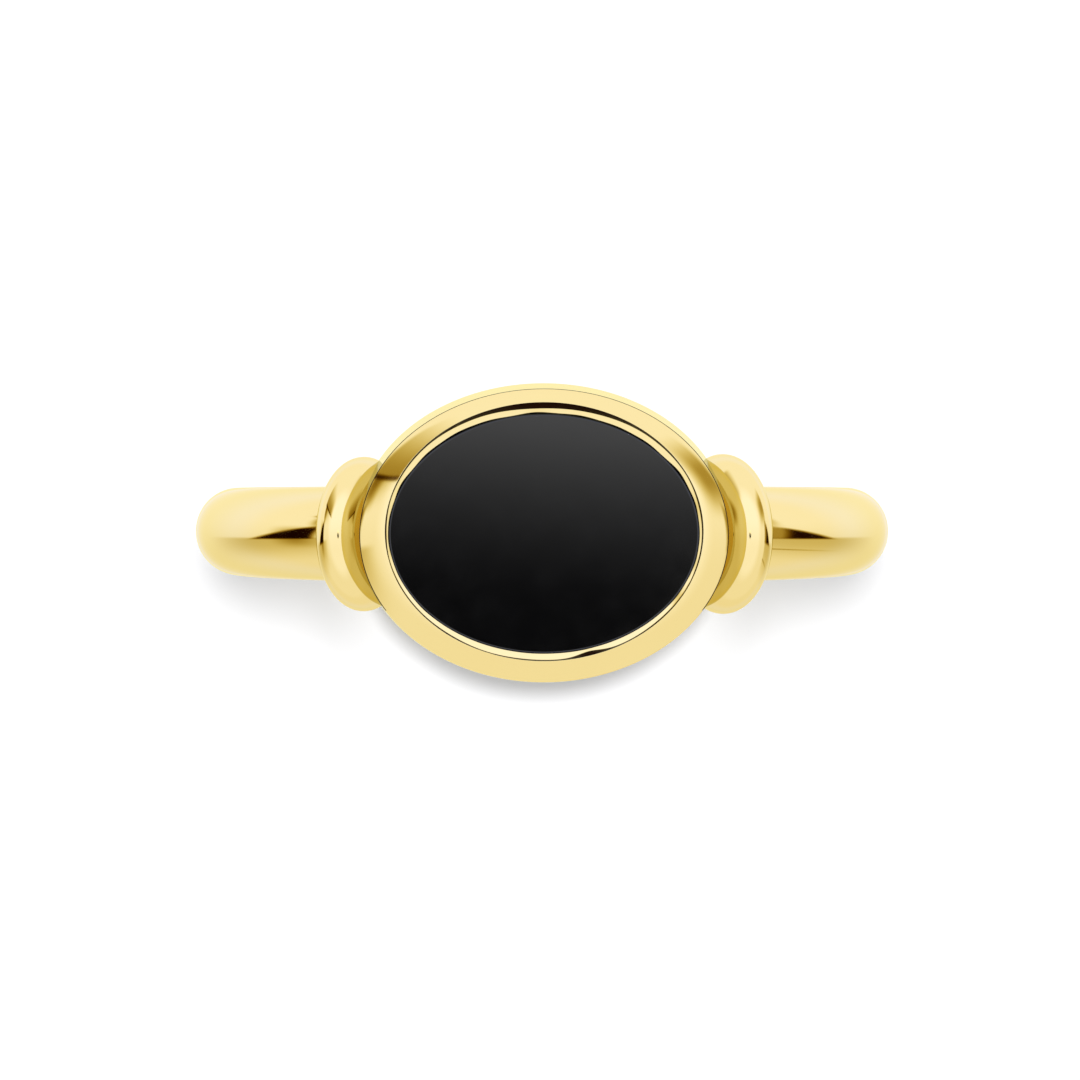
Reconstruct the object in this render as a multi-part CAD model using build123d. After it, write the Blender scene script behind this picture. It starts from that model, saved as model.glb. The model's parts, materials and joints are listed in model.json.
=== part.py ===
from build123d import *
import os
from math import asin, cos, degrees, radians, sin

# A gold signet ring with an oval onyx. Millimetres.
# Frame: origin at the centre of the finger hole, +Z up through the stone,
# +X along the stone's long axis, +Y along the finger.

# ---- driving dimensions --------------------------------------------------------------
# finger hole
BORE_R = 8.6

# shank: a D-section band that gets narrower and thinner towards its base
SHANK_TOP_WIDTH = 2.86
SHANK_BASE_WIDTH = 2.30
SHANK_SIDE_THICKNESS = 1.98
SHANK_BASE_THICKNESS = 1.60
SHANK_FLANK_HEIGHT = 0.68  # straight side of the D, above the finger hole
SHANK_EDGE_ROUND = 0.18  # rounded inner edges, for comfort
SHANK_SECTIONS = 17

# shoulder collars: a thick round-edged bead on each shoulder
COLLAR_BITE = 0.100  # how far inside the head's end wall the bead's middle lies
COLLAR_HALF_THICKNESS = 0.665
COLLAR_OUTER_REACH = 2.85  # from the finger hole to the bead's outermost point
COLLAR_DEPTH = 4.0  # bead's size along the ring's radius, before the hole trims it
COLLAR_WIDTH = 4.63  # bead's size along the finger
RIGHT_COLLAR_GROWTH = 1.035  # made by hand: the right bead is a little larger than the left

# gallery: the plate between finger and setting
GALLERY_THICKNESS = 1.0
SEAT_LEDGE = 0.90  # how far seat and gallery reach in under the stone

# stone: flat-topped oval with a bevelled shoulder and a very low dome
STONE_LENGTH = 10.0
STONE_WIDTH = 8.0
STONE_SHIFT = 0.05  # the stone sits this far towards +Y in its setting
GIRDLE_HEIGHT = 1.00
SHOULDER_HEIGHT = 0.67
SHOULDER_INSET_END = 0.41
SHOULDER_INSET_SIDE = 0.467
DOME_R = 200.0
SEAT_HEIGHT = 0.35  # least height of the ledge that the stone stands on

# setting wall: its outer edge, measured outwards from the stone
WALL_END = 0.465
WALL_SIDE = 0.346
WALL_FLARE_END = 0.028  # how much each end spreads for each millimetre downwards
WALL_FLARE_SIDE = 0.043
WALL_LEAN = 0.016  # how far the wall's foot strays towards +Y for each millimetre downwards

# setting top: insets are measured inwards from the stone's outline
CREST_INSET_END = 0.295
CREST_INSET_SIDE = 0.171
CREST_SHIFT = 0.118
CREST_RISE = 0.36  # crest above the table's edge
FACE_DROP = 0.46  # outer edge below the crest
FACE_BULGE = 0.06  # the bevelled face is a little convex
STEP_INSET_END = 0.325
STEP_INSET_SIDE = 0.300
STEP_SHIFT = 0.069
STEP_RISE = 0.03
LIP_INSET_END = 0.400
LIP_INSET_SIDE = 0.457
LIP_SHIFT = 0.093
LIP_FALL = 0.02  # the lip meets the stone this far below the table's edge

# ---- sizes that follow ---------------------------------------------------------------
STONE_A = STONE_LENGTH / 2
STONE_B = STONE_WIDTH / 2
GALLERY_R = BORE_R + GALLERY_THICKNESS
SEAT_Z = GALLERY_R + SEAT_HEIGHT
GIRDLE_Z = SEAT_Z + GIRDLE_HEIGHT
TABLE_Z = GIRDLE_Z + SHOULDER_HEIGHT
CREST_Z = TABLE_Z + CREST_RISE
EDGE_Z = CREST_Z - FACE_DROP
EDGE_A = STONE_A + WALL_END
EDGE_B = STONE_B + WALL_SIDE
DOME_TOP_Z = TABLE_Z + (STONE_A - SHOULDER_INSET_END) ** 2 / (2 * DOME_R)
COLLAR_R = BORE_R + COLLAR_OUTER_REACH - COLLAR_DEPTH / 2
COLLAR_ANGLE = degrees(asin((EDGE_A - COLLAR_BITE) / COLLAR_R))  # from +Z, seen along the finger


def oval(a, b, z, shift=0.0):
    """A level oval face with half-axes a along X and b along Y."""
    return Pos(0, shift, z) * Ellipse(a, b)


def finger_cylinder(radius):
    """A long solid cylinder around the finger axis."""
    return Rot(90, 0, 0) * Cylinder(radius, 4 * BORE_R)


# ---- shank ---------------------------------------------------------------------------
def shank_section(angle):
    """The band's D outline at an angle from +Z, carried down into the hole for trimming."""
    below = min(angle, 360 - angle)
    run = (below - COLLAR_ANGLE) / (180 - COLLAR_ANGLE)
    half = (SHANK_TOP_WIDTH + (SHANK_BASE_WIDTH - SHANK_TOP_WIDTH) * run) / 2
    sunk = max(0.0, -cos(radians(below)))
    thickness = SHANK_SIDE_THICKNESS + (SHANK_BASE_THICKNESS - SHANK_SIDE_THICKNESS) * sunk
    foot = BORE_R - SHANK_FLANK_HEIGHT
    spring = BORE_R + SHANK_FLANK_HEIGHT
    dome = EllipticalCenterArc((0, spring), half, thickness - SHANK_FLANK_HEIGHT, 0, arc_size=180)
    sides = Polyline((-half, spring), (-half, foot), (half, foot), (half, spring))
    radial = Vector(sin(radians(angle)), 0, cos(radians(angle)))
    plane = Plane(origin=(0, 0, 0), x_dir=(0, 1, 0), z_dir=Vector(0, 1, 0).cross(radial))
    return plane * make_face(dome + sides)


def inner_rims(band):
    """The two long edges where the band's flanks meet the finger hole."""
    walls = band.faces().filter_by(GeomType.CYLINDER)
    return walls.edges().filter_by(lambda edge: edge.length > BORE_R)


def make_shank(beads):
    """The band from one shoulder round the base to the other, its ends fitted to the beads."""
    sweep = 360 - 2 * COLLAR_ANGLE
    angles = [COLLAR_ANGLE + sweep * i / (SHANK_SECTIONS - 1) for i in range(SHANK_SECTIONS)]
    band = loft([shank_section(angle) for angle in angles]) - finger_cylinder(BORE_R)
    band = fillet(inner_rims(band), SHANK_EDGE_ROUND) - head_core()
    for bead in beads:
        band = band - bead
    return band


# ---- head ----------------------------------------------------------------------------
def head_core():
    """The head's outer wall as a solid, from the finger axis up to the bevel's outer edge."""
    foot_a = EDGE_A + WALL_FLARE_END * EDGE_Z
    foot_b = EDGE_B + WALL_FLARE_SIDE * EDGE_Z
    foot = oval(foot_a, foot_b, 0, WALL_LEAN * EDGE_Z)
    return loft([foot, oval(EDGE_A, EDGE_B, EDGE_Z)], ruled=True)


def bevel_cap():
    """The convex bevel from the wall's top edge up to the crest."""
    crest_a = STONE_A - CREST_INSET_END
    crest_b = STONE_B - CREST_INSET_SIDE
    middle_z = EDGE_Z + FACE_DROP / 2 + FACE_BULGE
    middle = oval((EDGE_A + crest_a) / 2, (EDGE_B + crest_b) / 2, middle_z, CREST_SHIFT / 2)
    return loft([oval(EDGE_A, EDGE_B, EDGE_Z), middle, oval(crest_a, crest_b, CREST_Z, CREST_SHIFT)])


def opening():
    """The space above the stone: a shallow lip, then a steep step up to the crest."""
    lip_a = STONE_A - LIP_INSET_END
    lip_b = STONE_B - LIP_INSET_SIDE
    lip_z = TABLE_Z - LIP_FALL
    step_a = STONE_A - STEP_INSET_END
    step_b = STONE_B - STEP_INSET_SIDE
    step_z = TABLE_Z + STEP_RISE
    lip = oval(lip_a, lip_b, lip_z, LIP_SHIFT)
    inside_stone = oval(2 * lip_a - step_a, 2 * lip_b - step_b, 2 * lip_z - step_z, LIP_SHIFT)
    step = oval(step_a, step_b, step_z, STEP_SHIFT)
    crest = oval(STONE_A - CREST_INSET_END, STONE_B - CREST_INSET_SIDE, CREST_Z, CREST_SHIFT)
    return loft([inside_stone, lip, step, crest], ruled=True)


def stone_body():
    """Girdle, bevelled shoulder and domed table."""
    girdle = extrude(oval(STONE_A, STONE_B, SEAT_Z, STONE_SHIFT), GIRDLE_HEIGHT)
    rise = (DOME_TOP_Z - GIRDLE_Z) / SHOULDER_HEIGHT
    tip_a = STONE_A - SHOULDER_INSET_END * rise
    tip_b = STONE_B - SHOULDER_INSET_SIDE * rise
    tip = oval(tip_a, tip_b, DOME_TOP_Z, STONE_SHIFT)
    shoulder = loft([oval(STONE_A, STONE_B, GIRDLE_Z, STONE_SHIFT), tip], ruled=True)
    return (girdle + shoulder) & (Pos(0, STONE_SHIFT, DOME_TOP_Z - DOME_R) * Sphere(DOME_R))


def window():
    """The open back below the stone."""
    hole = oval(STONE_A - SEAT_LEDGE, STONE_B - SEAT_LEDGE, 0, STONE_SHIFT)
    return extrude(hole, SEAT_Z)


def make_gallery():
    """The saddle-shaped plate that lies over the finger and carries the setting."""
    plate = head_core() & finger_cylinder(GALLERY_R)
    return plate - finger_cylinder(BORE_R) - window()


def make_seat():
    """The ledge inside the setting that the stone stands on."""
    block = extrude(oval(STONE_A, STONE_B, 0, STONE_SHIFT), SEAT_Z)
    return block - finger_cylinder(GALLERY_R) - window()


def make_collet(stone):
    """The setting's oval wall with its bevelled face, closed over the stone's shoulder."""
    pocket = extrude(oval(STONE_A, STONE_B, 0, STONE_SHIFT), SEAT_Z)
    shell = head_core() + bevel_cap()
    return shell - finger_cylinder(GALLERY_R) - pocket - stone - opening()


# ---- shoulders -----------------------------------------------------------------------
def bead_body(growth=1.0):
    """The +X shoulder's bead before trimming: a thick oval disc with a full round edge."""
    t = COLLAR_HALF_THICKNESS * growth
    reach = COLLAR_DEPTH * growth / 2
    rim = ThreePointArc((reach - t, 0, -t), (reach, 0, 0), (reach - t, 0, t))
    sides = Polyline((reach - t, 0, t), (0, 0, t), (0, 0, -t), (reach - t, 0, -t))
    bead = revolve(make_face(rim + sides), Axis.Z)
    bead = scale(bead, by=(1, COLLAR_WIDTH / COLLAR_DEPTH, 1))
    lean = radians(COLLAR_ANGLE)
    radial = Vector(sin(lean), 0, cos(lean))
    return Plane(origin=radial * COLLAR_R, x_dir=radial, z_dir=(-cos(lean), 0, sin(lean))) * bead


def make_collar(bead):
    """One shoulder bead, trimmed by the finger hole and fitted to the head's wall."""
    return bead - finger_cylinder(BORE_R) - head_core()


# ---- build and write -----------------------------------------------------------------
def make_ring():
    stone = stone_body()
    right = bead_body(RIGHT_COLLAR_GROWTH)
    left = mirror(bead_body(), about=Plane.YZ)
    return {
        "shank": make_shank([left, right]),
        "shoulder_collar_left": make_collar(left),
        "shoulder_collar_right": make_collar(right),
        "gallery_base": make_gallery(),
        "bezel_collet": make_collet(stone),
        "stone_seat": make_seat(),
        "onyx_stone": stone,
    }


os.makedirs("parts", exist_ok=True)
for name, solid in make_ring().items():
    export_step(solid, f"parts/{name}.step")
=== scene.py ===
import json
import math

import bpy
import numpy as np
from mathutils import Matrix, Vector


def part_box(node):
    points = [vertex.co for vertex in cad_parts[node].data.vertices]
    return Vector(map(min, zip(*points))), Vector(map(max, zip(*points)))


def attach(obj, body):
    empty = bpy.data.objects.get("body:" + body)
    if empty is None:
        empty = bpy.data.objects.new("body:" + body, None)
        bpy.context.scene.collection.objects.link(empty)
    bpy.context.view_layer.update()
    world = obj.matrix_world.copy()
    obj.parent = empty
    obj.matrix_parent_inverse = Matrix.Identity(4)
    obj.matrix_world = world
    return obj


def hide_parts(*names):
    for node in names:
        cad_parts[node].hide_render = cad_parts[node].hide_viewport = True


# Signet ring: polished gold with an oval onyx. Metres; +Z up through the stone,
# +X along its long axis, +Y along the finger, origin at the centre of the finger hole.

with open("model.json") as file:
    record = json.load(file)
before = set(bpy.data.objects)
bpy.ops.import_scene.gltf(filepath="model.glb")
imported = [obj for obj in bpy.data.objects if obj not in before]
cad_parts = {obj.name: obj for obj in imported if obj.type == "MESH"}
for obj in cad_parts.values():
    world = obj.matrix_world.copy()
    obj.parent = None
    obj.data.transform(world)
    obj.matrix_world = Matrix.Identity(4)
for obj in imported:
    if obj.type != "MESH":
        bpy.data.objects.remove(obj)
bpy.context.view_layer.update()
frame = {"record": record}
MM = 0.001

# ---- places read from the frame ------------------------------------------------------
BORE_R = frame["record"]["mounts"][0]["dims"]["r_mm"] * MM
stone_low, stone_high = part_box("onyx_stone")
_, collet_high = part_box("bezel_collet")
band_low, band_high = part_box("shank")
bead_low, bead_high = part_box("shoulder_collar_left")
STONE_A = (stone_high.x - stone_low.x) / 2
STONE_B = (stone_high.y - stone_low.y) / 2
STONE_SHIFT = (stone_high.y + stone_low.y) / 2
SEAT_Z = stone_low.z
CREST_Z = collet_high.z
FLOOR_Z = band_low.z
SIDE_THICKNESS = band_high.x - BORE_R
BASE_THICKNESS = -band_low.z - BORE_R
COLLAR_WIDTH = bead_high.y - bead_low.y

# ---- sizes shared with the CAD model -------------------------------------------------
GALLERY_R = BORE_R + 1.0 * MM
BAND_TOP_WIDTH = 2.86 * MM
BAND_BASE_WIDTH = 2.30 * MM
BAND_FLANK = 0.68 * MM
BAND_EDGE_ROUND = 0.18 * MM
COLLAR_BITE = 0.100 * MM
COLLAR_HALF_THICKNESS = 0.665 * MM
RIGHT_COLLAR_GROWTH = 1.035
COLLAR_REACH = 2.85 * MM
COLLAR_DEPTH = 4.0 * MM
SEAT_LEDGE = 0.90 * MM
GIRDLE_HEIGHT = 1.00 * MM
SHOULDER_HEIGHT = 0.67 * MM
SHOULDER_INSET = (0.41 * MM, 0.467 * MM)
DOME_R = 200 * MM
WALL = (0.465 * MM, 0.346 * MM)
WALL_FLARE = (0.028, 0.043)
WALL_LEAN = 0.016
CREST_INSET = (0.295 * MM, 0.171 * MM)
CREST_SHIFT = 0.118 * MM
FACE_DROP = 0.46 * MM
FACE_BULGE_END = 0.045 * MM  # how far the face swells, at the ends and at the sides
FACE_BULGE_SIDE = 0.012 * MM
CUT_AT_ENDS = 0.030 * MM  # how wide the bright-cut step inside the crest is
CUT_AT_BACK = 0.148 * MM
CUT_AT_FRONT = 0.012 * MM
CUT_SHARPNESS = 5  # how quickly the step narrows away from the back
CUT_UNEVEN = 0.012 * MM
NICK_AT, NICK_SPREAD = math.radians(-73), math.radians(6)  # where the graver bit deeper
NICK_SIZE = 0.10 * MM
EDGE_ROUND = 0.03 * MM  # how far the corners are rounded: wall, crest, step and lip
CREST_ROUND = 0.03 * MM
STEP_ROUND = 0.012 * MM
LIP_ROUND = 0.006 * MM
EDGE_LINE_END = -2.2 * MM  # the painted dark line of shade round the face ends here, towards -Y
CUT_MARGIN = 0.02 * MM  # the painted shade stops this far above the foot of the step
STEP_RISE = 0.03 * MM
LIP_INSET = (0.400 * MM, 0.457 * MM)
LIP_SHIFT = 0.093 * MM
LIP_FALL = 0.02 * MM
LIP_UNEVEN = 0.03 * MM
STONE_ROUND = 0.04 * MM  # the stone's foot and girdle
TABLE_ROUND = 0.02 * MM
DOME_RIM = 0.985  # the share of the table where the dome's own rings start

GIRDLE_Z = SEAT_Z + GIRDLE_HEIGHT
TABLE_Z = GIRDLE_Z + SHOULDER_HEIGHT
EDGE_Z = CREST_Z - FACE_DROP
EDGE_A = STONE_A + WALL[0]
EDGE_B = STONE_B + WALL[1]
COLLAR_R = BORE_R + COLLAR_REACH - COLLAR_DEPTH / 2
COLLAR_ANGLE = math.asin((EDGE_A - COLLAR_BITE) / COLLAR_R)

AROUND = 384  # segments round each oval
FACE_STEPS = 30  # rings across the bevelled face
BAND_STEPS = 300
BEAD_AROUND = 256
FINGER_AROUND = 1024
SPAN = 0.1 * MM  # a gap between two curves that is wider than this gets more curves
TURN = np.linspace(0, 2 * math.pi, AROUND, endpoint=False)


# ---- mesh helpers --------------------------------------------------------------------
def oval(a, b, z, shift=0.0):
    """A level oval as an array of points."""
    flat = np.full(AROUND, z)
    return np.stack([a * np.cos(TURN), shift + b * np.sin(TURN), flat], axis=1)


def oval_on_cylinder(a, b, radius, shift=0.0):
    """An oval seen from above that lies on a cylinder round the finger."""
    x = a * np.cos(TURN)
    return np.stack([x, shift + b * np.sin(TURN), np.sqrt(radius**2 - x**2)], axis=1)


def spread_between(start, end, steps):
    """Curves between two curves, without the ends, closer together near the ends."""
    shares = (1 - np.cos(np.linspace(0, math.pi, steps + 1)[1:-1])) / 2
    return [start + (end - start) * s for s in shares]


def rounded_loop(curves, radii, span_steps=8, corner_steps=6):
    """Rounds the corners of a closed loop of curves, and fills each span with more curves."""
    count = len(curves)
    corners = []
    for i, radius in enumerate(radii):
        here, before, after = curves[i], curves[i - 1], curves[(i + 1) % count]
        back, ahead = before - here, after - here
        back_len = np.linalg.norm(back, axis=1, keepdims=True)
        ahead_len = np.linalg.norm(ahead, axis=1, keepdims=True)
        reach = np.minimum(radius, 0.45 * np.minimum(back_len, ahead_len))
        first, last = here + back / back_len * reach, here + ahead / ahead_len * reach
        if radius == 0:
            corners.append([here])
            continue
        shares = np.linspace(0, 1, corner_steps + 1)
        corners.append([(1 - s) ** 2 * first + 2 * s * (1 - s) * here + s**2 * last for s in shares])
    out = []
    for i in range(count):
        start, end = corners[i][-1], corners[(i + 1) % count][0]
        widest = np.linalg.norm(end - start, axis=1).max()
        out += corners[i]
        out += spread_between(start, end, min(span_steps, 1 + int(widest / SPAN)))
    return out


def mesh_object(name, verts, faces, sharp_deg=35):
    mesh = bpy.data.meshes.new(name)
    mesh.from_pydata([tuple(v) for v in verts], [], faces)
    mesh.validate()
    obj = bpy.data.objects.new(name, mesh)
    bpy.context.scene.collection.objects.link(obj)
    smooth(obj, sharp_deg)
    return obj


def smooth(obj, sharp_deg=35):
    obj.data.shade_smooth()
    obj.data.set_sharp_from_angle(angle=math.radians(sharp_deg))


def tube_faces(rows, cols, close_rows):
    """Quads over a grid of points whose columns close on themselves."""
    faces = []
    for r in range(rows if close_rows else rows - 1):
        low, high = r * cols, (r + 1) % rows * cols
        for c in range(cols):
            d = (c + 1) % cols
            faces.append((low + c, low + d, high + d, high + c))
    return faces


def loop_solid(name, curves):
    """A closed solid from a closed loop of closed curves."""
    verts = np.concatenate(curves)
    return mesh_object(name, verts, tube_faces(len(curves), AROUND, True))


def capped_solid(name, curves, cols, low_tip=None, high_tip=None):
    """A closed solid from an open stack of closed curves, ended by fans or flat faces."""
    verts = list(np.concatenate(curves))
    faces = tube_faces(len(curves), cols, False)
    top = (len(curves) - 1) * cols
    for tip, start, flip in ((low_tip, 0, True), (high_tip, top, False)):
        ring = [start + c for c in range(cols)]
        if tip is None:
            faces.append(ring[::-1] if flip else ring)
            continue
        verts.append(tip)
        centre = len(verts) - 1
        for c in range(cols):
            pair = (ring[c], ring[(c + 1) % cols])
            faces.append((*pair[::-1], centre) if flip else (*pair, centre))
    return mesh_object(name, verts, faces)


def cut(obj, *cutters):
    """Takes the cutters out of a piece."""
    for cutter in cutters:
        tool = obj.modifiers.new("cut", "BOOLEAN")
        tool.operation = "DIFFERENCE"
        tool.solver = "EXACT"
        tool.object = cutter
        applied = bpy.data.meshes.new_from_object(obj.evaluated_get(bpy.context.evaluated_depsgraph_get()))
        obj.modifiers.clear()
        obj.data = applied
    smooth(obj)


def drop(*objs):
    for obj in objs:
        bpy.data.objects.remove(obj)


# ---- shapes --------------------------------------------------------------------------
def wall_oval_at(z):
    """The flaring wall's outline at a height."""
    fall = EDGE_Z - z
    return oval(EDGE_A + WALL_FLARE[0] * fall, EDGE_B + WALL_FLARE[1] * fall, z, WALL_LEAN * fall)


def wall_on_cylinder(radius):
    """Where the flaring wall meets a cylinder round the finger."""
    fall = np.zeros(AROUND)
    for _ in range(12):
        x = (EDGE_A + WALL_FLARE[0] * fall) * np.cos(TURN)
        z = np.sqrt(radius**2 - x**2)
        fall = EDGE_Z - z
    y = WALL_LEAN * fall + (EDGE_B + WALL_FLARE[1] * fall) * np.sin(TURN)
    return np.stack([x, y, z], axis=1)


def face_curves():
    """The convex bevel between the wall's edge and the crest."""
    crest_a, crest_b = STONE_A - CREST_INSET[0], STONE_B - CREST_INSET[1]
    low = np.array([EDGE_A, EDGE_B, EDGE_Z, 0.0])
    high = np.array([crest_a, crest_b, CREST_Z, CREST_SHIFT])
    bulge = FACE_BULGE_END * np.cos(TURN) ** 2 + FACE_BULGE_SIDE * np.sin(TURN) ** 2
    curves = []
    for s in np.linspace(0, 1, FACE_STEPS + 1)[1:-1]:
        a, b, z, shift = low + (high - low) * s
        curves.append(oval(a, b, z + 4 * bulge * s * (1 - s), shift))
    return curves


def wobble(size, waves, seed):
    """Small smooth unevenness round an oval, as a graver leaves it."""
    phases = np.random.default_rng(seed).uniform(0, 2 * math.pi, len(waves))
    return size * sum(np.sin(k * TURN + p) for k, p in zip(waves, phases)) / len(waves)


def pulled_in(curve, amount, middle_y):
    """Moves an oval's points towards its middle by an amount for each point."""
    out = curve.copy()
    arm = np.hypot(curve[:, 0], curve[:, 1] - middle_y)
    out[:, 0] -= curve[:, 0] / arm * amount
    out[:, 1] -= (curve[:, 1] - middle_y) / arm * amount
    return out


def make_collet():
    """Wall, bevelled face, crest, bright-cut step, lip, and the inside that grips the stone."""
    crest = oval(STONE_A - CREST_INSET[0], STONE_B - CREST_INSET[1], CREST_Z, CREST_SHIFT)
    towards_back, towards_front = np.maximum(np.sin(TURN), 0), np.maximum(-np.sin(TURN), 0)
    cut_width = CUT_AT_ENDS * (1 - 0.5 * towards_front)
    cut_width = cut_width + CUT_AT_BACK * towards_back**CUT_SHARPNESS
    cut_width = cut_width + CUT_AT_FRONT * towards_front**3
    off_nick = (TURN - NICK_AT + math.pi) % (2 * math.pi) - math.pi
    cut_width = cut_width + NICK_SIZE * np.exp(-((off_nick / NICK_SPREAD) ** 2))
    step = pulled_in(crest, cut_width + wobble(CUT_UNEVEN, (5, 8, 13), 3), CREST_SHIFT)
    step[:, 2] = TABLE_Z + STEP_RISE
    lip = oval(STONE_A - LIP_INSET[0], STONE_B - LIP_INSET[1], TABLE_Z - LIP_FALL, LIP_SHIFT)
    lip = pulled_in(lip, wobble(LIP_UNEVEN, (7, 11, 17, 23), 8), LIP_SHIFT)
    girdle = oval(STONE_A, STONE_B, GIRDLE_Z, STONE_SHIFT)
    pocket_foot = oval_on_cylinder(STONE_A, STONE_B, GALLERY_R, STONE_SHIFT)
    face = face_curves()
    outside = [wall_on_cylinder(GALLERY_R), wall_oval_at(EDGE_Z)]
    curves = [*outside, *face, crest, step, lip, girdle, pocket_foot]
    radii = [0, EDGE_ROUND, *[0] * len(face), CREST_ROUND, STEP_ROUND, LIP_ROUND, 0, 0]
    return loop_solid("bezel_collet_gold", rounded_loop(curves, radii))


def paint_shade_on_cuts(collet, material):
    """Paints near-black shade and dark reflection on the line round the face and on the step inside the
    crest.
    """
    collet.data.materials.append(material)
    crest_a, crest_b = STONE_A - CREST_INSET[0], STONE_B - CREST_INSET[1]
    for face in collet.data.polygons:
        x, y, z = face.center
        inside = (x / crest_a) ** 2 + ((y - CREST_SHIFT) / crest_b) ** 2 < 0.999
        on_step = inside and z > TABLE_Z + STEP_RISE + CUT_MARGIN
        at_edge = EDGE_Z - EDGE_ROUND < z < EDGE_Z + 0.7 * EDGE_ROUND
        on_edge = not inside and y > EDGE_LINE_END and at_edge
        if on_step or on_edge:
            face.material_index = 1


def make_stone():
    """Girdle, bevelled shoulder and a table with a very low dome."""
    table_a, table_b = STONE_A - SHOULDER_INSET[0], STONE_B - SHOULDER_INSET[1]
    dome_middle = stone_high.z - DOME_R

    def on_dome(share):
        ring = oval(table_a * share, table_b * share, 0, STONE_SHIFT)
        across = ring[:, 0] ** 2 + (ring[:, 1] - STONE_SHIFT) ** 2
        ring[:, 2] = dome_middle + np.sqrt(DOME_R**2 - across)
        return ring

    foot = oval(STONE_A, STONE_B, SEAT_Z, STONE_SHIFT)
    girdle = oval(STONE_A, STONE_B, GIRDLE_Z, STONE_SHIFT)
    inner_foot = oval(STONE_A * 0.5, STONE_B * 0.5, SEAT_Z, STONE_SHIFT)
    near_rim = on_dome(DOME_RIM)
    corners = [inner_foot, foot, girdle, on_dome(1), near_rim]
    outline = rounded_loop(corners, [0, STONE_ROUND, STONE_ROUND, TABLE_ROUND, 0])
    stop = next(i for i, c in enumerate(outline) if np.allclose(c, near_rim))
    curves = outline[: stop + 1] + [on_dome(s) for s in np.linspace(DOME_RIM, 0.02, 40)[1:]]
    low_tip = (0, STONE_SHIFT, SEAT_Z)
    high_tip = (0, STONE_SHIFT, stone_high.z)
    return capped_solid("onyx_stone_polished", curves, AROUND, low_tip, high_tip)


def make_gallery():
    """The saddle-shaped plate between the finger and the setting."""
    inner_a, inner_b = STONE_A - SEAT_LEDGE, STONE_B - SEAT_LEDGE
    curves = [
        wall_on_cylinder(BORE_R),
        wall_on_cylinder(GALLERY_R),
        oval_on_cylinder(inner_a, inner_b, GALLERY_R, STONE_SHIFT),
        oval_on_cylinder(inner_a, inner_b, BORE_R, STONE_SHIFT),
    ]
    return loop_solid("gallery_base_gold", rounded_loop(curves, [0.12 * MM, 0, 0, 0.08 * MM], span_steps=16))


def make_seat():
    """The ledge that the stone stands on."""
    inner_a, inner_b = STONE_A - SEAT_LEDGE, STONE_B - SEAT_LEDGE
    curves = [
        oval_on_cylinder(STONE_A, STONE_B, GALLERY_R, STONE_SHIFT),
        oval(STONE_A, STONE_B, SEAT_Z, STONE_SHIFT),
        oval(inner_a, inner_b, SEAT_Z, STONE_SHIFT),
        oval_on_cylinder(inner_a, inner_b, GALLERY_R, STONE_SHIFT),
    ]
    return loop_solid("stone_seat_gold", rounded_loop(curves, [0, 0, 0.04 * MM, 0]))


def band_section(angle):
    """The band's D outline at an angle from +Z: (along the finger, away from the finger) pairs."""
    below = min(angle, 2 * math.pi - angle)
    run = (below - COLLAR_ANGLE) / (math.pi - COLLAR_ANGLE)
    half = (BAND_TOP_WIDTH + (BAND_BASE_WIDTH - BAND_TOP_WIDTH) * run) / 2
    sunk = max(0.0, -math.cos(below))
    dome = SIDE_THICKNESS + (BASE_THICKNESS - SIDE_THICKNESS) * sunk - BAND_FLANK
    spring = BORE_R + BAND_FLANK
    corner = BAND_EDGE_ROUND
    points = [(half * math.cos(t), spring + dome * math.sin(t)) for t in np.linspace(0, math.pi, 49)]
    left = [(-half, spring - (BAND_FLANK - corner) * s) for s in (0.33, 0.66)]
    turn = np.linspace(0, math.pi / 2, 9)
    low_left = [(-half + corner * (1 - math.cos(t)), BORE_R + corner * (1 - math.sin(t))) for t in turn]
    inside = [(x, BORE_R) for x in np.linspace(-half + corner, half - corner, 11)[1:-1]]
    low_right = [(-x, y) for x, y in low_left[::-1]]
    right = [(-x, y) for x, y in left[::-1]]
    return points + left + low_left + inside + low_right + right


def make_band(cutters):
    """The half-round band, its ends fitted to the beads and the head."""
    angles = np.linspace(COLLAR_ANGLE, 2 * math.pi - COLLAR_ANGLE, BAND_STEPS + 1)
    curves = []
    for angle in angles:
        section = np.array(band_section(angle))
        radial = np.array([math.sin(angle), 0, math.cos(angle)])
        curves.append(section[:, :1] * np.array([0, 1, 0]) + section[:, 1:] * radial)
    band = capped_solid("shank_gold", curves, len(curves[0]))
    cut(band, *cutters)
    return band


def bead_matrix(side):
    """Stands a bead's own axes on a shoulder: side is 1 for +X and -1 for -X."""
    radial = Vector((side * math.sin(COLLAR_ANGLE), 0, math.cos(COLLAR_ANGLE)))
    along = Vector((0, 1, 0))
    tangent = radial.cross(along)
    place = Matrix((radial, along, tangent)).transposed().to_4x4()
    place.translation = radial * COLLAR_R
    return place


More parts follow.
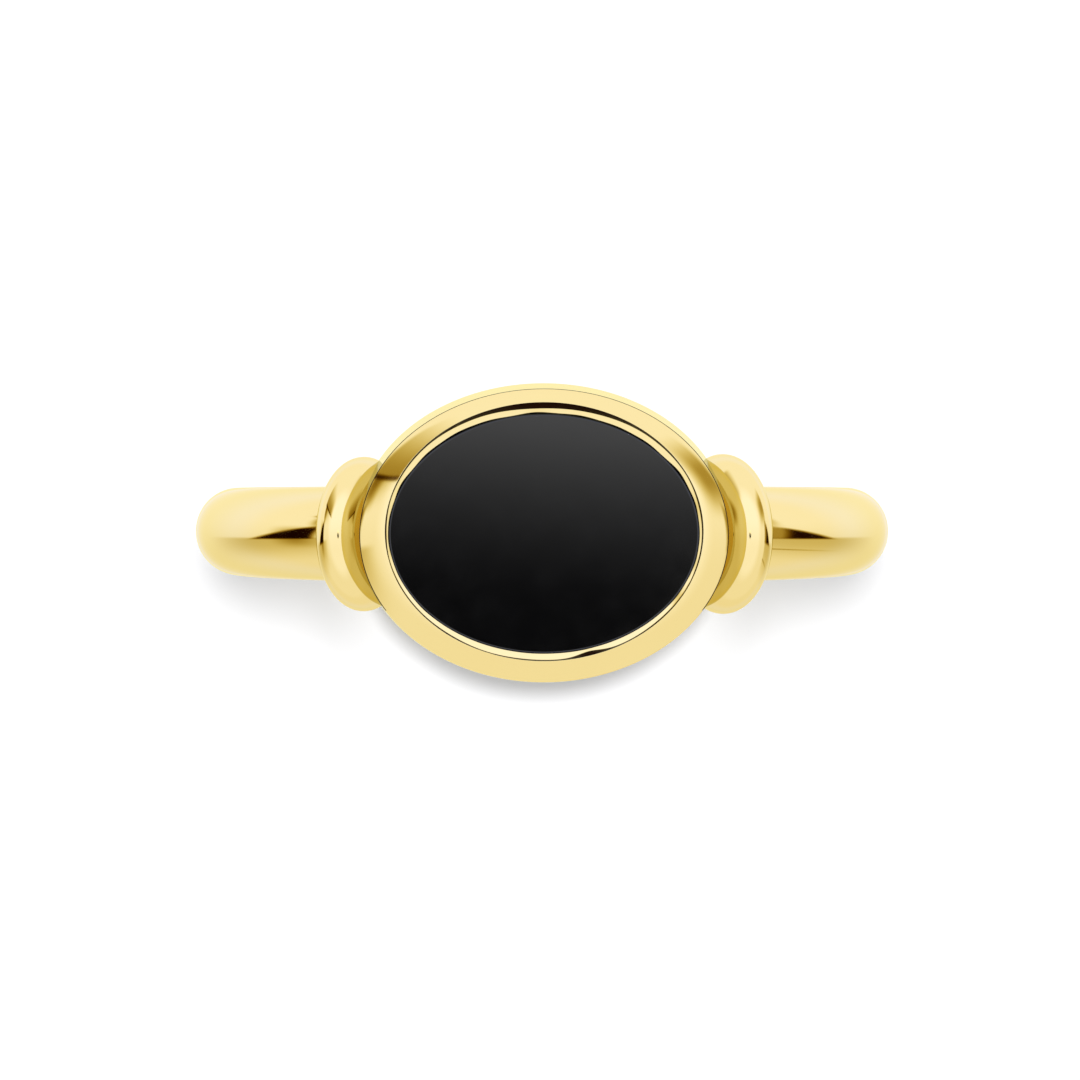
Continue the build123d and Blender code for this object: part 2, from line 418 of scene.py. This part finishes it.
def bead_body(name, side, growth=1.0):
    """A thick oval disc with a full round edge."""
    t = COLLAR_HALF_THICKNESS * growth
    reach = COLLAR_DEPTH * growth / 2
    stretch = COLLAR_WIDTH / COLLAR_DEPTH
    cols = BEAD_AROUND
    turn = np.linspace(0, 2 * math.pi, cols, endpoint=False)
    profile = [(r, -t) for r in np.linspace(0.1, 0.98, 6) * (reach - t)]
    half_turn = np.linspace(-math.pi / 2, math.pi / 2, 49)
    profile += [(reach - t + t * math.cos(q), t * math.sin(q)) for q in half_turn]
    profile += [(r, t) for r in np.linspace(0.98, 0.1, 6) * (reach - t)]
    curves = [
        np.stack([r * np.cos(turn), stretch * r * np.sin(turn), np.full(cols, h)], axis=1) for r, h in profile
    ]
    bead = capped_solid(name, curves, cols, (0, 0, -t), (0, 0, t))
    bead.data.transform(bead_matrix(side))
    return bead


def finger_cutter():
    """The finger hole as a solid."""
    turn = np.linspace(0, 2 * math.pi, FINGER_AROUND, endpoint=False)
    x, z = BORE_R * np.sin(turn), BORE_R * np.cos(turn)
    ends = [np.stack([x, np.full(FINGER_AROUND, side * BORE_R), z], axis=1) for side in (-1, 1)]
    return capped_solid("finger_cutter", ends, FINGER_AROUND)


def head_cutter():
    """The head's outer wall as a solid, from the finger's axis up to the bevel."""
    return capped_solid("head_cutter", [wall_oval_at(0), wall_oval_at(EDGE_Z)], AROUND)


# ---- materials -----------------------------------------------------------------------
def new_material(name):
    mat = bpy.data.materials.new(name)
    mat.use_nodes = True
    shader = mat.node_tree.nodes["Principled BSDF"]
    return mat, mat.node_tree.nodes, mat.node_tree.links, shader


def noise(nodes, links, scale, detail, roughness=0.5, stretch=(1, 1, 1)):
    """Noise whose scale is in features per millimetre."""
    coords = nodes.new("ShaderNodeTexCoord")
    mapping = nodes.new("ShaderNodeMapping")
    mapping.inputs["Scale"].default_value = [s / MM for s in stretch]
    tex = nodes.new("ShaderNodeTexNoise")
    tex.inputs["Scale"].default_value = scale
    tex.inputs["Detail"].default_value = detail
    tex.inputs["Roughness"].default_value = roughness
    links.new(coords.outputs["Object"], mapping.inputs["Vector"])
    links.new(mapping.outputs["Vector"], tex.inputs["Vector"])
    return tex.outputs["Fac"]


def spread_to(nodes, links, value, low, high):
    """Maps a noise value to a range."""
    remap = nodes.new("ShaderNodeMapRange")
    remap.inputs["From Min"].default_value = 0.3
    remap.inputs["From Max"].default_value = 0.7
    remap.inputs["To Min"].default_value = low
    remap.inputs["To Max"].default_value = high
    links.new(value, remap.inputs["Value"])
    return remap.outputs["Result"]


def polished_gold():
    mat, nodes, links, shader = new_material("polished_gold")
    shader.inputs["Metallic"].default_value = 1.0
    shader.inputs["Specular Tint"].default_value = (1.0, 0.90, 0.52, 1)
    tint = nodes.new("ShaderNodeMix")
    tint.data_type = "RGBA"
    tint.inputs["A"].default_value = (0.925, 0.742, 0.330, 1)
    tint.inputs["B"].default_value = (0.940, 0.764, 0.358, 1)
    links.new(noise(nodes, links, 0.35, 2), tint.inputs["Factor"])
    links.new(tint.outputs["Result"], shader.inputs["Base Color"])
    links.new(spread_to(nodes, links, noise(nodes, links, 1.3, 4), 0.045, 0.085), shader.inputs["Roughness"])
    bump = nodes.new("ShaderNodeBump")
    bump.inputs["Strength"].default_value = 1.0
    bump.inputs["Distance"].default_value = 0.0012 * MM
    links.new(noise(nodes, links, 0.9, 1), bump.inputs["Height"])
    links.new(bump.outputs["Normal"], shader.inputs["Normal"])
    return mat


def cut_painted_shade():
    """Near-black colour that paints shade and dark reflection into the bright-cut step and onto the line
    round the face.
    """
    mat, nodes, links, shader = new_material("cut_painted_shade")
    shader.inputs["Specular IOR Level"].default_value = 0.05
    shade = nodes.new("ShaderNodeMix")
    shade.data_type = "RGBA"
    shade.inputs["A"].default_value = (0.006, 0.0012, 0.0006, 1)
    shade.inputs["B"].default_value = (0.022, 0.005, 0.0015, 1)
    links.new(noise(nodes, links, 1.5, 3), shade.inputs["Factor"])
    links.new(shade.outputs["Result"], shader.inputs["Base Color"])
    links.new(spread_to(nodes, links, noise(nodes, links, 5, 4), 0.35, 0.55), shader.inputs["Roughness"])
    return mat


def seat_gold():
    mat, nodes, links, shader = new_material("seat_gold")
    shader.inputs["Metallic"].default_value = 1.0
    shader.inputs["Base Color"].default_value = (0.90, 0.68, 0.27, 1)
    links.new(spread_to(nodes, links, noise(nodes, links, 6, 5), 0.25, 0.42), shader.inputs["Roughness"])
    return mat


def black_onyx():
    mat, nodes, links, shader = new_material("black_onyx")
    shader.inputs["IOR"].default_value = 1.54
    shade = nodes.new("ShaderNodeMix")
    shade.data_type = "RGBA"
    shade.inputs["A"].default_value = (0.0016, 0.0016, 0.0018, 1)
    shade.inputs["B"].default_value = (0.0030, 0.0030, 0.0032, 1)
    links.new(noise(nodes, links, 0.5, 3, stretch=(0.4, 1.5, 1)), shade.inputs["Factor"])
    links.new(shade.outputs["Result"], shader.inputs["Base Color"])
    links.new(spread_to(nodes, links, noise(nodes, links, 1.1, 4), 0.04, 0.07), shader.inputs["Roughness"])
    return mat


# ---- the ring ------------------------------------------------------------------------
def dress(obj, node, material):
    """Gives a piece its material and its place in the frame."""
    obj.data.materials.clear()
    obj.data.materials.append(material)
    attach(obj, "root")
    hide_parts(node)


def make_ring():
    gold, matt_gold, onyx = polished_gold(), seat_gold(), black_onyx()
    finger, head = finger_cutter(), head_cutter()
    left = bead_body("shoulder_collar_left_gold", -1)
    right = bead_body("shoulder_collar_right_gold", 1, RIGHT_COLLAR_GROWTH)
    band = make_band([left, right, head])
    for bead in (left, right):
        cut(bead, finger, head)
    drop(finger, head)
    dress(band, "shank", gold)
    dress(left, "shoulder_collar_left", gold)
    dress(right, "shoulder_collar_right", gold)
    dress(make_gallery(), "gallery_base", gold)
    collet = make_collet()
    dress(collet, "bezel_collet", gold)
    # the step inside the crest and the line round the face get painted near-black shade and dark reflection
    paint_shade_on_cuts(collet, cut_painted_shade())
    dress(make_seat(), "stone_seat", matt_gold)
    dress(make_stone(), "onyx_stone", onyx)


# ---- studio --------------------------------------------------------------------------
FLOOR_SIZE = 6.0  # metres
CAMERA_DISTANCE = 350 * MM
CAMERA_TILT = math.radians(0.7)  # the camera stands this far over towards +Y
CAMERA_LEAN = math.radians(0.3)  # and this far over towards -X
FRAME_WIDTH = 33.03 * MM  # what the picture spans at the height of the finger hole
CAMERA_AIM = Vector((-0.061 * MM, -0.275 * MM, 0))

# Polished gold is seen by what it mirrors. The studio is a bright tent round the ring, in
# degrees: "zenith" is 0 overhead and 90 at the horizon, and "side" is the compass angle off
# the X axis, the same for the left and right halves, positive towards +Y.
TENT_FRONT = 0.965  # brightness towards -Y
LOW_FRONT = 0.035  # and how much dimmer it is there from the horizon down
TENT_BACK = 1.05  # and towards +Y
UPPER_GAIN = 1.10  # overhead panels against the walls
FILL_LIGHT = 0.05  # the tent's own light on the floor
SECOND_BOUNCE = (0.74, 0.79, 0.75)  # tone of what is seen off a second gold face
THIRD_BOUNCE = (0.75, 0.85, 1.1)  # and off a third
LOW_TONE = (0.98, 1.03, 1.35)  # pale cloth near the floor
FLOOR_TONE = (1.02, 0.94, 0.475)  # gold light on the floor right under the ring
HOLE_START, HOLE_END = -2.8, 1.9  # the camera's hole overhead, from dark to bright along Y
HOLE_BRIGHTEST, HOLE_CURVE, HOLE_SLANT = 1.33, 2.35, 0.1
HOLE_FADE = (4.0, 5.2)  # zenith angles over which the hole gives way to the tent
HOLE_WARMTH, TENT_WARMTH = (1.0, 1.0), (1.37, 3.15)  # powers that green and blue are raised to

# Each pair below is where something starts and where it is complete, for Sums.fade. "top"
# and "foot" are zenith angles, front and back are side angles, and a shade is how much of
# the light it takes away.
FRONT_TO_BACK = (-0.35, 0.35)  # along Y, and so is LOW_FRONT_Y
LOW_FRONT_Y, LOW_FRONT_ZENITH = (0.1, -0.3), (84, 96)
UPPER_ZENITH = (62, 38)

FRONT_OUTER, FRONT_INNER, FRONT_FOOT = (-46, -8), (-5, -9), (150, 112)
FRONT_TOP_LEFT, FRONT_TOP_RIGHT = (55, 80), (76, 84)
FRONT_SHADE = 0.30

END_FRONT, END_BACK, END_TOP, END_FOOT = (-26, -8), (14, 2), (78, 91), (106, 91)
END_SHADE = 0.45

WEDGE_SIDE, WEDGE_FOOT, WEDGE_SLOPE = -8, 114, 1.5  # the dark opening at each end of the tent
WEDGE_RAKE, WEDGE_TOP_LEFT = 0.2, (79, 84)
WEDGE_HALF_TOP, WEDGE_FULL_TOP = (77, 80.5), (78, 93)
WEDGE_HALF_SHADE = 0.60
WEDGE_BACK, WEDGE_BACK_SHARE = (7, 14), 0.45
WEDGE_SHADE = 0.985

GAP_SIDE = 28.5  # the tent's back panels start here
GAP_TOP, GAP_FOOT, GAP_LINE = (40, 56), (91, 86), (2.2, 0.4)
GAP_LINE_SHADE = 0.9
BEHIND_SIDE, BEHIND_SHADE = (66, 30), 0.62
BEFORE_SIDE, BEFORE_TOP, BEFORE_FOOT = (10, 30), (50, 84), (89, 84)
BEFORE_SHADE = 0.55
CORNER_FRONT, CORNER_BACK, CORNER_TOP, CORNER_FOOT = (8, 20), (31, 26), (68, 80), (87, 82)
CORNER_SHADE = 0.55
SOFT_TOP, SOFT_FOOT, SOFT_SPREAD = (50, 76), (90, 83), (24, 2)
SOFT_SHADE = 0.58

SEAM_SIDE, SEAM_SPREAD, SEAM_TOP, SEAM_FOOT = -25, (1.4, 0.3), (78, 82), (128, 84)
SEAM_SHADE = 0.45

LOW_ZENITH, FLOOR_ZENITH = (104, 128), (168, 173)  # where LOW_TONE and FLOOR_TONE set in


def make_floor():
    """A wide white floor that the gold doesn't mirror: the tent's lower half stands in for it."""
    half = FLOOR_SIZE / 2
    corners = [(x * half, y * half, FLOOR_Z) for x, y in ((-1, -1), (1, -1), (1, 1), (-1, 1))]
    floor = mesh_object("floor", corners, [(0, 1, 2, 3)])
    mat, _, _, shader = new_material("floor_white")
    shader.inputs["Base Color"].default_value = (0.91, 0.915, 0.94, 1)
    shader.inputs["Roughness"].default_value = 0.9
    shader.inputs["Specular IOR Level"].default_value = 0.0
    floor.data.materials.append(mat)
    floor.visible_glossy = False


class Sums:
    """Writes sums on node sockets; a term is a socket or a number."""

    def __init__(self, tree):
        self.nodes, self.links = tree.nodes, tree.links

    def put(self, term, socket):
        if isinstance(term, (int, float)):
            socket.default_value = term
        else:
            self.links.new(term, socket)

    def __call__(self, operation, *terms):
        node = self.nodes.new("ShaderNodeMath")
        node.operation = operation
        for term, socket in zip(terms, node.inputs):
            self.put(term, socket)
        return node.outputs[0]

    def fade(self, value, start, end):
        """0 before start, 1 past end, smooth between; start may be the larger one."""
        node = self.nodes.new("ShaderNodeMapRange")
        node.interpolation_type = "SMOOTHSTEP"
        node.inputs["From Min"].default_value = start
        node.inputs["From Max"].default_value = end
        self.links.new(value, node.inputs["Value"])
        return node.outputs["Result"]

    def product(self, *terms):
        out = terms[0]
        for term in terms[1:]:
            out = self("MULTIPLY", out, term)
        return out

    def shade(self, light, amount, share=1.0):
        """Darkens light by share times amount."""
        return self("MULTIPLY", light, self("SUBTRACT", 1.0, self("MULTIPLY", amount, share)))

    def mix(self, factor, low, high):
        """low where factor is 0 and high where it is 1."""
        kept = self("MULTIPLY", self("SUBTRACT", 1.0, factor), low)
        return self("ADD", kept, self("MULTIPLY", factor, high))


def tent_light(sums, direction):
    """How bright the tent is in each direction, how far that is the hole overhead, and zenith."""
    split = sums.nodes.new("ShaderNodeSeparateXYZ")
    sums.links.new(direction, split.inputs[0])
    x, y, z = split.outputs
    degrees = 180 / math.pi
    zenith = sums("MULTIPLY", sums("ARCCOSINE", z), degrees)
    side = sums("MULTIPLY", sums("ARCTAN2", y, sums("ABSOLUTE", x)), degrees)
    left = sums("LESS_THAN", x, 0.0)
    right = sums("SUBTRACT", 1.0, left)

    light = sums.mix(sums.fade(y, *FRONT_TO_BACK), TENT_FRONT, TENT_BACK)

    # a little dimmer low down at the front
    low_front = sums.product(sums.fade(y, *LOW_FRONT_Y), sums.fade(zenith, *LOW_FRONT_ZENITH))
    light = sums.shade(light, low_front, LOW_FRONT)

    # the tent's upper part is a little brighter
    upper = sums("MULTIPLY", light, UPPER_GAIN)
    light = sums.mix(sums.fade(zenith, *UPPER_ZENITH), light, upper)

    # the shade beside the end openings, towards the front
    front = sums.product(sums.fade(side, *FRONT_OUTER), sums.fade(side, *FRONT_INNER))
    front = sums.product(front, sums.fade(zenith, *FRONT_FOOT))
    front_left = sums.product(left, front, sums.fade(zenith, *FRONT_TOP_LEFT))
    front_right = sums.product(right, front, sums.fade(zenith, *FRONT_TOP_RIGHT))
    light = sums.shade(light, sums("ADD", front_left, front_right), FRONT_SHADE)

    # the left end darkens down towards its opening
    end = sums.product(left, sums.fade(side, *END_FRONT), sums.fade(side, *END_BACK))
    end = sums.product(end, sums.fade(zenith, *END_TOP), sums.fade(zenith, *END_FOOT))
    light = sums.shade(light, end, END_SHADE)

    # the openings themselves: a slanted foot, and a different top on each side
    slope = sums("MULTIPLY", sums("SUBTRACT", side, WEDGE_SIDE), WEDGE_SLOPE)
    slant = sums("ADD", zenith, slope)
    past_side = sums.fade(side, WEDGE_SIDE - 2, WEDGE_SIDE + 1)
    inside = sums.product(past_side, sums.fade(slant, WEDGE_FOOT + 3, WEDGE_FOOT - 4))
    raked = sums("ADD", zenith, sums("MULTIPLY", side, WEDGE_RAKE))
    top_left = sums.product(left, sums.fade(raked, *WEDGE_TOP_LEFT))
    half_open = sums("MULTIPLY", sums.fade(zenith, *WEDGE_HALF_TOP), WEDGE_HALF_SHADE)
    full_open = sums.fade(zenith, *WEDGE_FULL_TOP)
    top_right = sums.product(right, sums("MAXIMUM", half_open, full_open))
    opening = sums.product(inside, sums("ADD", top_left, top_right))
    opening = sums.shade(opening, sums.fade(side, *WEDGE_BACK), WEDGE_BACK_SHARE)
    light = sums.shade(light, opening, WEDGE_SHADE)

    # the gap before the back panels: on the left a line, with shade behind it, before it and
    # low in the corner next to it; on the right one soft shade
    height = sums.product(sums.fade(zenith, *GAP_TOP), sums.fade(zenith, *GAP_FOOT))
    off_line = sums("ABSOLUTE", sums("SUBTRACT", side, GAP_SIDE))
    line = sums.product(left, height, sums.fade(off_line, *GAP_LINE))
    light = sums.shade(light, line, GAP_LINE_SHADE)
    past_gap = sums("GREATER_THAN", side, GAP_SIDE)
    behind = sums.product(left, height, sums.fade(side, *BEHIND_SIDE), past_gap)
    light = sums.shade(light, behind, BEHIND_SHADE)
    before = sums.product(left, sums.fade(zenith, *BEFORE_TOP), sums.fade(side, *BEFORE_SIDE))
    before = sums.product(before, sums("LESS_THAN", side, GAP_SIDE))
    before = sums.product(before, sums.fade(zenith, *BEFORE_FOOT))
    light = sums.shade(light, before, BEFORE_SHADE)
    corner = sums.product(left, sums.fade(side, *CORNER_FRONT), sums.fade(side, *CORNER_BACK))
    corner = sums.product(corner, sums.fade(zenith, *CORNER_TOP))
    corner = sums.product(corner, sums.fade(zenith, *CORNER_FOOT))
    light = sums.shade(light, corner, CORNER_SHADE)
    soft = sums.product(right, sums.fade(zenith, *SOFT_TOP), sums.fade(zenith, *SOFT_FOOT))
    soft = sums.product(soft, sums.fade(off_line, *SOFT_SPREAD))
    light = sums.shade(light, soft, SOFT_SHADE)

    # a seam on the right
    off_seam = sums("ABSOLUTE", sums("ADD", side, -SEAM_SIDE))
    seam = sums.product(right, sums.fade(off_seam, *SEAM_SPREAD))
    seam = sums.product(seam, sums.fade(zenith, *SEAM_TOP), sums.fade(zenith, *SEAM_FOOT))
    light = sums.shade(light, seam, SEAM_SHADE)

    # the hole overhead
    along = sums("MULTIPLY", sums("ARCTAN2", y, z), degrees)
    across = sums("MULTIPLY", sums("ARCTAN2", x, z), degrees * HOLE_SLANT)
    past_start = sums("SUBTRACT", sums("ADD", along, across), HOLE_START)
    run = sums("DIVIDE", past_start, HOLE_END - HOLE_START)
    rise = sums("POWER", sums("MINIMUM", sums("MAXIMUM", run, 0.0), 1.0), HOLE_CURVE)
    overhead = sums.fade(zenith, HOLE_FADE[1], HOLE_FADE[0])
    light = sums.mix(overhead, light, sums("MULTIPLY", rise, HOLE_BRIGHTEST))
    return light, overhead, zenith


def make_world():
    world = bpy.data.worlds.new("studio")
    world.use_nodes = True
    tree = world.node_tree
    sums = Sums(tree)
    background = tree.nodes["Background"]
    coords = tree.nodes.new("ShaderNodeTexCoord")
    light, overhead, zenith = tent_light(sums, coords.outputs["Generated"])
    # half-lit cloth takes a warm tone from the gold in front of it, except overhead
    green = sums("POWER", light, sums.mix(overhead, TENT_WARMTH[0], HOLE_WARMTH[0]))
    blue = sums("POWER", light, sums.mix(overhead, TENT_WARMTH[1], HOLE_WARMTH[1]))
    tint = tree.nodes.new("ShaderNodeCombineColor")
    path = tree.nodes.new("ShaderNodeLightPath")
    # what reaches the eye off two or more gold faces is toned down (the world counts as a bounce)
    twice = sums("GREATER_THAN", path.outputs["Ray Depth"], 2.5)
    thrice = sums("GREATER_THAN", path.outputs["Ray Depth"], 3.5)
    low, below = sums.fade(zenith, *LOW_ZENITH), sums.fade(zenith, *FLOOR_ZENITH)
    channels = []
    tones = zip((light, green, blue), SECOND_BOUNCE, THIRD_BOUNCE, LOW_TONE, FLOOR_TONE)
    for value, second, third, low_tone, floor_tone in tones:
        toned = sums.mix(twice, value, sums("MULTIPLY", value, second))
        toned = sums.mix(thrice, toned, sums("MULTIPLY", toned, third))
        toned = sums.mix(low, toned, sums("MULTIPLY", toned, low_tone))
        channels.append(sums.mix(below, toned, sums("MULTIPLY", toned, floor_tone)))
    for socket, value in zip(tint.inputs, channels):
        tree.links.new(value, socket)
    plain = tree.nodes.new("ShaderNodeMix")
    plain.data_type = "RGBA"
    plain.inputs["A"].default_value = (FILL_LIGHT, FILL_LIGHT, FILL_LIGHT, 1)
    plain.inputs["B"].default_value = (1, 1, 1, 1)
    pick = tree.nodes.new("ShaderNodeMix")
    pick.data_type = "RGBA"
    tree.links.new(path.outputs["Is Camera Ray"], plain.inputs["Factor"])
    tree.links.new(plain.outputs["Result"], pick.inputs["A"])
    tree.links.new(path.outputs["Is Glossy Ray"], pick.inputs["Factor"])
    tree.links.new(tint.outputs["Color"], pick.inputs["B"])
    tree.links.new(pick.outputs["Result"], background.inputs["Color"])
    bpy.context.scene.world = world


def make_lamp(name, lean_deg, spread_deg, strength, blockers):
    """A distant soft lamp leaning from overhead towards +Y; only the blockers shade it."""
    data = bpy.data.lights.new(name, "SUN")
    data.angle = math.radians(spread_deg)
    data.energy = strength
    lamp = bpy.data.objects.new(name, data)
    lamp.rotation_euler = (-math.radians(lean_deg), 0, 0)
    lamp.visible_glossy = False
    bpy.context.scene.collection.objects.link(lamp)
    group = bpy.data.collections.new(name + "_blockers")
    for piece in blockers:
        group.objects.link(piece)
    lamp.light_linking.blocker_collection = group


def make_camera():
    data = bpy.data.cameras.new("camera")
    data.sensor_width = 36
    data.lens = data.sensor_width * CAMERA_DISTANCE / FRAME_WIDTH
    data.clip_start, data.clip_end = 0.01, 10
    camera = bpy.data.objects.new("camera", data)
    back = Vector((-math.tan(CAMERA_LEAN), math.tan(CAMERA_TILT), 1)).normalized()
    camera.location = CAMERA_AIM + back * CAMERA_DISTANCE
    camera.rotation_euler = (-CAMERA_TILT, -CAMERA_LEAN, 0)
    bpy.context.scene.collection.objects.link(camera)
    bpy.context.scene.camera = camera


make_ring()
make_floor()
make_world()
head_names = ("bezel_collet_gold", "gallery_base_gold", "onyx_stone_polished")
hoop_names = ("shank_gold", "shoulder_collar_left_gold", "shoulder_collar_right_gold")
head = [bpy.data.objects[name] for name in head_names]
hoop = [bpy.data.objects[name] for name in hoop_names]
make_lamp("head_lamp", lean_deg=2.6, spread_deg=2.2, strength=2.05, blockers=head)
make_lamp("hoop_lamp", lean_deg=5.2, spread_deg=9.5, strength=1.5, blockers=hoop)
make_camera()
bpy.context.scene.view_settings.view_transform = "Standard"

bpy.context.view_layer.update()
